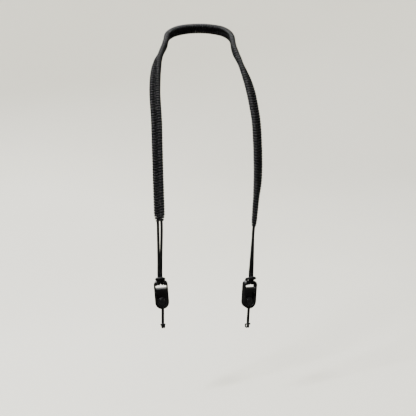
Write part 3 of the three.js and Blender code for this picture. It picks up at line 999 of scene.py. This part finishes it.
@dataclass
class LinkHousing(LinkPiece):
    """Builds a link's housing from outlines: a rounded body from which the openings are cut."""

    piece: ClassVar[str] = "link_body"
    node: ClassVar[str] = "link_housing"
    slot: ClassVar[str] = "link_nylon"
    arc_steps: int = 20
    edge_steps: int = 5
    sharp_angle: float = 35.0

    def rectangle(self, half: float, low: float, high: float, radius: float) -> Outline:
        """Return the outline of a rounded rectangle that is centred across."""
        x, bottom, top = half - radius, low + radius, high - radius
        return (
            (x, bottom, radius, -90, 0),
            (x, top, radius, 0, 90),
            (-x, top, radius, 90, 180),
            (-x, bottom, radius, 180, 270),
        )

    def upright(self, radius: float, low: float, high: float) -> Outline:
        """Return the outline of an upright slot with round ends, between two centres."""
        return ((0, low, radius, 180, 360), (0, high, radius, 0, 180))

    def outside(self) -> Outline:
        """Return the body's outline: rounded corners above and a half circle below."""
        half, corner = self.link.width / 2, self.link.corner
        return (
            (0, self.link.disc_centre, half, 180, 360),
            (half - corner, -corner, corner, 0, 90),
            (corner - half, -corner, corner, 90, 180),
        )

    def ring(self, outline: Outline, depth: float, inset: float) -> list[tuple[float, float, float]]:
        """List the points of an outline at one depth.

        Args:
            outline: the outline.
            depth: where it lies, front to back.
            inset: how far it is moved inwards.

        Returns:
            Points in the link's frame.
        """
        points = []
        for x, z, radius, start, stop in outline:
            size = radius - inset
            for angle in np.radians(np.linspace(start, stop, self.arc_steps + 1)):
                points.append((x + size * math.cos(angle), depth, z + size * math.sin(angle)))
        return points

    def solid(self, outline: Outline, rings: list[tuple[float, float]]) -> Object:
        """Make a closed solid through rings of one outline.

        Args:
            outline: the outline.
            rings: the depth and the inset of each ring, front to back.

        Returns:
            An object with a closed mesh that faces outwards.
        """
        verts = [point for depth, inset in rings for point in self.ring(outline, depth, inset)]
        count = len(verts) // len(rings)
        last = len(verts) - count
        faces = [tuple(range(count)), tuple(reversed(range(last, len(verts))))]
        for first in range(0, last, count):
            for i in range(count):
                here, after = first + i, first + (i + 1) % count
                faces.append((after, here, here + count, after + count))
        mesh = bpy.data.meshes.new("solid")
        mesh.from_pydata(verts, [], faces)
        shape = bmesh.new()
        shape.from_mesh(mesh)
        write_closed(shape, mesh)
        return link_object("solid", mesh)

    def quarter(self, face: float, inwards: int, rounding: float) -> list[tuple[float, float]]:
        """List a rounded edge's rings, from the face inwards.

        Args:
            face: the depth of the face.
            inwards: 1 where the solid lies behind the face and -1 where it lies in front.
            rounding: the radius, below nought for a cutter that flares.

        Returns:
            The depth and the inset of each ring.
        """
        angles = np.radians(np.linspace(0, 90, self.edge_steps + 1))
        deep = inwards * abs(rounding)
        return [(face + deep * (1 - math.cos(a)), rounding * (1 - math.sin(a))) for a in angles]

    def through(self, outline: Outline, rounding: float) -> Object:
        """Make a cutter that goes through the body and rounds both rims by this much."""
        half, reach = self.link.thickness / 2, self.link.thickness
        front = self.quarter(-half, 1, -rounding)
        back = reversed(self.quarter(half, -1, -rounding))
        return self.solid(outline, [(-reach, -rounding), *front, *back, (reach, -rounding)])

    def from_front(self, outline: Outline, floor: float, rounding: float) -> Object:
        """Make a cutter that goes from the front to a floor and rounds the front rim by this much."""
        half, reach = self.link.thickness / 2, self.link.thickness
        front = self.quarter(-half, 1, -rounding)
        return self.solid(outline, [(-reach, -rounding), *front, (floor, 0.0)])

    def cutters(self) -> list[Object]:
        """Make the solids of the saddle, the slot, the pocket and the lug cord's notch."""
        link = self.link
        hitch, reach, rim = link.tail_hitch, link.thickness, link.rim_rounding
        face = link.bar_depth / 2
        room = 1.5 * link.clearance
        back_half = link.tail_cord * (1 + hitch.spread) + room
        front_half = link.tail_cord * (1 + 2 * hitch.slant) + room
        slot_top = -(link.bar_height + link.clearance + link.tail_cord)
        slot_low = slot_top - link.slot_height
        low = slot_top - link.slot_corner
        corner = link.slot_corner / 2
        channel = link.disc_diameter / 2 + link.clearance
        channel_back = link.flange_back + link.clearance
        entry = slot_low - link.bridge - channel
        boss = link.boss_diameter / 2 + link.clearance
        notch = link.lug_cord + link.clearance / 2 + link.cord_clearance
        saddle = self.rectangle(back_half, low, -link.bar_height, corner)
        back_waist = self.rectangle(back_half, low, reach, corner)
        front_waist = self.rectangle(front_half, low, reach, corner)
        slot = self.rectangle(link.slot_width / 2, slot_low, slot_top, link.slot_corner)
        round_entry = self.upright(channel, entry, entry + link.clearance)
        run = self.upright(channel, link.disc_centre, entry)
        lips = self.upright(boss, link.disc_centre, entry)
        foot = self.rectangle(notch, -link.length - reach, link.disc_centre, link.clearance)
        return [
            self.solid(saddle, [(-face - link.clearance, 0.0), (reach, 0.0)]),
            self.from_front(front_waist, -face, rim),
            self.solid(back_waist, [(face, 0.0), (reach, 0.0)]),
            self.through(slot, rim),
            self.from_front(round_entry, channel_back, rim),
            self.solid(run, [(link.lip_back, 0.0), (channel_back, 0.0)]),
            self.from_front(lips, channel_back, rim),
            self.from_front(foot, channel_back, rim),
        ]

    def mesh(self, name: str) -> Mesh:
        """Cut the housing and round its edges.

        Args:
            name: the mesh's name.

        Returns:
            The housing's mesh in its place.
        """
        link = self.link
        half = link.thickness / 2
        front = self.quarter(-half, 1, link.edge_rounding)
        back = self.quarter(half, -1, link.edge_rounding)
        body = self.solid(self.outside(), [*front, *reversed(back)])
        cutters = self.cutters()
        for cutter in cutters:
            cut = body.modifiers.new("cut", "BOOLEAN")
            cut.operation = "DIFFERENCE"
            cut.solver = "EXACT"
            cut.object = cutter
        mesh = evaluated_mesh(body, name)
        for thing in (body, *cutters):
            bpy.data.objects.remove(thing)
        mesh.transform(link.matrix())
        mesh.shade_smooth()
        mesh.set_sharp_from_angle(angle=math.radians(self.sharp_angle))
        return mesh

    def build(self, finish: Material) -> Object:
        """Make the housing in this finish, with its flat faces flat."""
        return evened(super().build(finish))


@dataclass
class AnchorDisc(LinkPiece):
    """The round disc in a link: a flange under the lips and a boss with a shallow dish."""

    piece: ClassVar[str] = "disc"
    node: ClassVar[str] = "anchor_disc"
    slot: ClassVar[str] = "disc_nylon"
    setback: float = 0.3 * MM
    rounding: float = 0.6 * MM
    rim_width: float = 1.6 * MM
    dish: float = 0.25 * MM
    # Columns: radius as a share of the dish's, and depth as a share of the dish's.
    dish_shape: tuple[tuple[float, float], ...] = ((0.0, 1.0), (0.5, 0.85), (0.85, 0.45), (1.0, 0.0))
    edge_points: int = 6
    segments: int = 72
    sharp_angle: float = 50.0

    def profile(self) -> list[tuple[float, float]]:
        """List the disc's half section as radius and depth, from the front's middle to the back's."""
        link, rounding = self.link, self.rounding
        boss, flange = link.boss_diameter / 2, link.disc_diameter / 2
        front = self.setback - link.thickness / 2
        rim = boss - self.rim_width
        angles = np.radians(np.linspace(90, 0, self.edge_points))
        return [
            *((share * rim, front + depth * self.dish) for share, depth in self.dish_shape),
            *((boss - rounding * (1 - math.cos(a)), front + rounding * (1 - math.sin(a))) for a in angles),
            (boss, link.flange_front),
            (flange - rounding, link.flange_front),
            (flange, link.flange_front + rounding),
            (flange, link.flange_back - rounding),
            (flange - rounding, link.flange_back),
            (0.0, link.flange_back),
        ]

    def mesh(self, name: str) -> Mesh:
        """Turn the disc.

        Args:
            name: the mesh's name.

        Returns:
            The disc's mesh in its place.
        """
        shape = bmesh.new()
        centre = Vector((0, 0, self.link.disc_centre))
        verts = [shape.verts.new(Vector((r, y, 0)) + centre) for r, y in self.profile()]
        edges = [shape.edges.new(pair) for pair in zip(verts, verts[1:])]
        bmesh.ops.spin(
            shape,
            geom=[*verts, *edges],
            cent=centre,
            axis=(0, 1, 0),
            angle=2 * math.pi,
            steps=self.segments,
            use_duplicate=False,
        )
        mesh = bpy.data.meshes.new(name)
        write_closed(shape, mesh)
        mesh.transform(self.link.matrix())
        mesh.shade_smooth()
        mesh.set_sharp_from_angle(angle=math.radians(self.sharp_angle))
        return mesh


@dataclass
class HitchedCord(LinkPiece):
    """A cord that leaves a piece, runs through a girth hitch and comes back. Its kinds say where."""

    lay: ClassVar[str]

    def tube(self) -> CordTube:
        """Return the cord's tube."""
        raise NotImplementedError

    def route(self) -> SmoothRoute:
        """Return the cord's route: out, down, through the hitch, and back."""
        raise NotImplementedError

    def middle(self) -> np.ndarray:
        """Return the points along the cord's middle."""
        return self.route().even(self.tube().step)[1]

    def mesh(self, name: str) -> Mesh:
        """Return the cord's mesh under this name."""
        return self.tube().mesh(name, self.middle())

    def dress(self, thing: Object) -> None:
        """Args:
            thing: the cord's object.
        """
        super().dress(thing)
        middle = self.middle()


@dataclass
class TailCord(HitchedCord):
    """The folded cord from one end of the band to its link's bar, and back."""

    piece: ClassVar[str] = "tail"
    node: ClassVar[str] = "tail_cord"
    slot: ClassVar[str] = "braided_cord"
    lay: ClassVar[str] = "taut"
    core_spacing: float = 6.6 * MM
    meeting_share: float = 0.3
    straight_diameters: float = 3.0
    tucked_in: float = 3 * MM

    def tube(self) -> CordTube:
        """Return the cord's tube."""
        return CordTube(self.link.tail_cord)

    def route(self) -> SmoothRoute:
        """Return the cord's route: out of the weave, down, through the hitch, and back."""
        end, diameter = self.link.end, self.link.tail_cord
        sides = np.array([[end.left_strand], [-end.left_strand]])

        def leave(distance: float) -> np.ndarray:
            """Return the two strands' points at a distance from the band's end."""
            return end.place + sides * end.across * self.core_spacing / 2 + end.out * distance

        on_bar = self.link.placed(self.link.tail_hitch.points())
        start, straight = leave(-self.tucked_in), leave(self.straight_diameters * diameter)
        lower = on_bar[[0, -1]]
        met = lower + (straight - lower) * self.meeting_share
        half = unit(met[1] - met[0]) * (diameter + self.link.clearance) / 2
        met = met.mean(axis=0) + np.array([-half, half])
        there, back = (start[0], straight[0], met[0]), (met[1], straight[1], start[1])
        return SmoothRoute(np.array([*there, *on_bar, *back]))


@dataclass
class LugCord(HitchedCord):
    """The thin cord that leaves a disc as a pair and ends in a girth hitch with an open eye."""

    piece: ClassVar[str] = "lug_loop"
    node: ClassVar[str] = "lug_cord"
    slot: ClassVar[str] = "lug_cord"
    lay: ClassVar[str] = "hanging"

    def tube(self) -> CordTube:
        """Return the cord's tube."""
        return CordTube(self.link.lug_cord, sides=12, step=0.45 * MM)

    def route(self) -> SmoothRoute:
        """Return the cord's route: out of the disc, down, through the hitch, and back."""
        link = self.link
        inner = (link.lug_cord + link.clearance) / 2
        depth = (link.flange_front + link.flange_back) / 2
        start = link.disc_centre - math.sqrt((link.disc_diameter / 2) ** 2 - inner**2) + link.clearance
        hitch = Hitch(link.lug_cord, link.lug_eye_depth, link.lug_eye_height)
        swing = -link.lug_drop * math.tan(math.radians(link.lug_lean))
        points = [
            (-inner, depth, start),
            (-inner, depth, -link.length),
            *(hitch.points() + np.array([swing, depth, -link.length - link.lug_drop])),
            (inner, depth, -link.length),
            (inner, depth, start),
        ]
        return SmoothRoute(link.placed(np.array(points)))


@dataclass(frozen=True)
class Studio:
    """The camera at the photograph's angle, the paper bowl and the soft lights."""

    azimuth: float = -5.0
    elevation: float = 12.0
    distance: float = 2.0
    focal_pixels: float = 1201.0
    frame_pixels: float = 416.0
    sensor: float = 36.0
    target: tuple[float, float, float] = (0.00195, -0.16976, -0.28315)
    floor_height: float = -0.62
    floor_share: float = 0.4
    bowl_radius: float = 3.2
    bowl_curve: float = 1.2
    bowl_height: float = 2.4
    bowl_sides: int = 96
    curve_steps: int = 25
    # Columns: name, place, size and watts. These lights look at the strap.
    lamps: tuple[tuple[str, tuple[float, float, float], float, float], ...] = (
        ("key", (-1.3, -1.15, 1.45), 0.4, 72),
        ("fill", (1.7, -1.9, 0.3), 1.0, 2),
        ("back_fill", (-0.7, 2.1, 0.7), 1.2, 22),
    )
    overhead_place: tuple[float, float, float] = (0.0, 0.3, 2.2)
    overhead_size: float = 3.0
    overhead_power: float = 110.0
    surround: str = "#F4F3EE"
    surround_strength: float = 0.08

    def aim(self, thing: Object, place: Vector, way: Vector) -> None:
        """Put a camera or a light at a place and let it look one way."""
        thing.location = place
        thing.rotation_euler = way.to_track_quat("-Z", "Y").to_euler()

    def camera(self) -> None:
        """Make the scene's camera."""
        az, el = math.radians(self.azimuth), math.radians(self.elevation)
        back = Vector((math.sin(az) * math.cos(el), -math.cos(az) * math.cos(el), math.sin(el)))
        data = bpy.data.cameras.new("camera")
        data.sensor_width = self.sensor
        data.lens = self.focal_pixels / self.frame_pixels * self.sensor
        camera = link_object("camera", data)
        self.aim(camera, Vector(self.target) + back * self.distance, -back)
        bpy.context.scene.camera = camera

    def bowl(self, finish: Material) -> None:
        """Make the floor, which curves up to a wall all round.

        Args:
            finish: the paper's material.
        """
        low, radius, curve, count = self.floor_height, self.bowl_radius, self.bowl_curve, self.bowl_sides
        angles = np.radians(np.linspace(-90, 0, self.curve_steps))
        bend = [(radius - curve + curve * math.cos(a), low + curve + curve * math.sin(a)) for a in angles]
        profile = [(self.floor_share * radius, low), *bend, (radius, self.bowl_height)]
        around = np.radians(np.linspace(0, 360, count, endpoint=False))
        verts = [(0.0, 0.0, low)]
        verts += [(r * math.cos(a), r * math.sin(a), z) for r, z in profile for a in around]
        faces = [(0, 1 + i, 1 + (i + 1) % count) for i in range(count)]
        for first in range(1, len(verts) - count, count):
            for i in range(count):
                here, after = first + i, first + (i + 1) % count
                faces.append((here, here + count, after + count, after))
        mesh = bpy.data.meshes.new("paper_bowl")
        mesh.from_pydata(verts, [], faces)
        mesh.materials.append(finish)
        mesh.shade_smooth()
        bowl = link_object("paper_bowl", mesh)
        bowl.visible_glossy = False

    def light(self, name: str, place: tuple, size: float, power: float, target: tuple) -> None:
        """Add a soft square light.

        Args:
            name: the light's name.
            place: where it stands.
            size: its side.
            power: its watts.
            target: the point at which it looks.
        """
        data = bpy.data.lights.new(name, "AREA")
        data.size = size
        data.energy = power
        self.aim(link_object(name, data), Vector(place), Vector(target) - Vector(place))

    def lights(self) -> None:
        """Add the key from the front left, weak fills, a wide light over the paper and a dim surround."""
        for name, place, size, power in self.lamps:
            self.light(name, place, size, power, self.target)
        below = (*self.overhead_place[:2], self.floor_height)
        self.light("overhead", self.overhead_place, self.overhead_size, self.overhead_power, below)
        world = bpy.data.worlds.new("surround")
        world.use_nodes = True
        values = {"Color": linear(self.surround), "Strength": self.surround_strength}
        feed(world.node_tree, world.node_tree.nodes["Background"], values)
        bpy.context.scene.world = world


def main() -> None:
    """Build the strap and its studio in order."""
    logging.basicConfig(level=logging.INFO, format="%(name)s: %(message)s")
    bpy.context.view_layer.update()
    studio = Studio()
    studio.camera()
    cord = BraidedCord().material()
    thin = BraidedCord(
        name="thin_coated_cord",
        yarn="#101012",
        roughness=0.42,
        sheen=0.02,
        yarns_round=6,
        braid_pitch=1.4 * MM,
        relief=0.06 * MM,
    ).material()
    nylon = MouldedNylon().material()
    satin = MouldedNylon("moulded_nylon_disc", base="#08080A", worn="#0F0F11", roughness=0.32).material()
    path = BandPath()
    left = {"drop": 102.5 * MM, "shift": 0.4 * MM, "lean": -4.2, "turn": -3, "lug_lean": 3.5}
    right = {"drop": 93.6 * MM, "shift": -6 * MM, "lean": 3.6, "turn": 17, "lug_lean": 1}
    pieces = []
    for side, hang in ((Side.LEFT, left), (Side.RIGHT, right)):
        link = QuickReleaseLink(side, path.end(side), **hang)
        pieces += [(TailCord(link), cord), (LugCord(link), thin)]
        pieces += [(LinkHousing(link), nylon), (AnchorDisc(link), satin)]
    for piece, finish in (*pieces, (WovenBand(path), cord)):
        made = piece.build(finish)
        piece.dress(made)
        LOG.info("%s: %d faces", made.name, len(made.data.polygons))
    studio.bowl(PalePaper().material())
    studio.lights()


if __name__ == "__main__":
    main()
